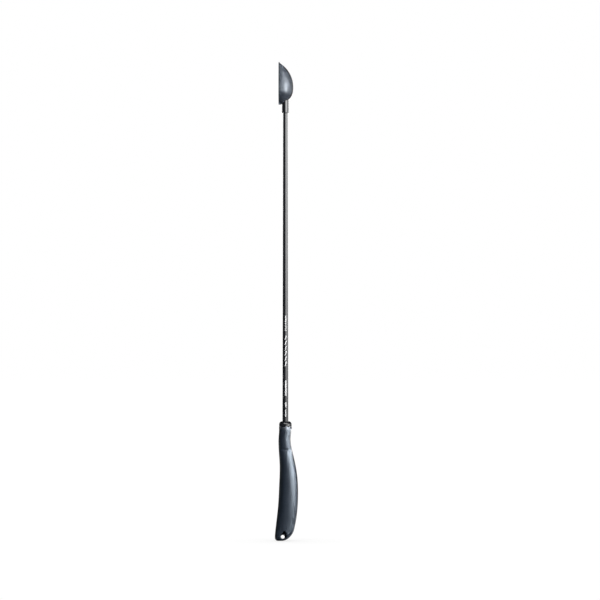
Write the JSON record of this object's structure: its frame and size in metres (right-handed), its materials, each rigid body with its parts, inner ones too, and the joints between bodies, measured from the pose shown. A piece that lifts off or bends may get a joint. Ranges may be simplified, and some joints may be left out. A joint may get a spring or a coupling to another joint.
{
  "type": "long-handled bait ladle",
  "caption": "Long-handled bait ladle: small half-egg cup on a thin tapered glossy shaft, with a curved satin grip and a lanyard eye.",
  "frame": {"origin": "on the shaft's axis, level with the lowest point of the grip's end", "axes": "+Z along the shaft's axis from the grip's end to the cup's tip, -X the way the cup opens, Y across the cup's width"},
  "size_m": [0.0339, 0.044, 0.6999],
  "materials": {
    "cup_plastic": "satin slate black, fine moulded texture",
    "ferrule_gloss": "gloss black",
    "shaft_gloss": "clear-coated gloss black",
    "collar_gloss": "gloss black",
    "trim_band": "satin dark anodised",
    "grip_satin": "satin slate black, fine moulded texture",
    "core_plastic": "plain moulded, hidden",
    "plug_rubber": "plain, hidden"
  },
  "bodies": {
    "root": {"cup_bowl": "cup_plastic", "neck_ferrule": "ferrule_gloss", "shaft_blank": "shaft_gloss", "shaft_tip_plug": "plug_rubber", "shaft_butt_plug": "plug_rubber", "grip_collar": "collar_gloss", "grip_trim_ring": "trim_band", "grip_cover": "grip_satin", "grip_core": "core_plastic"}
  },
  "joints": []
}
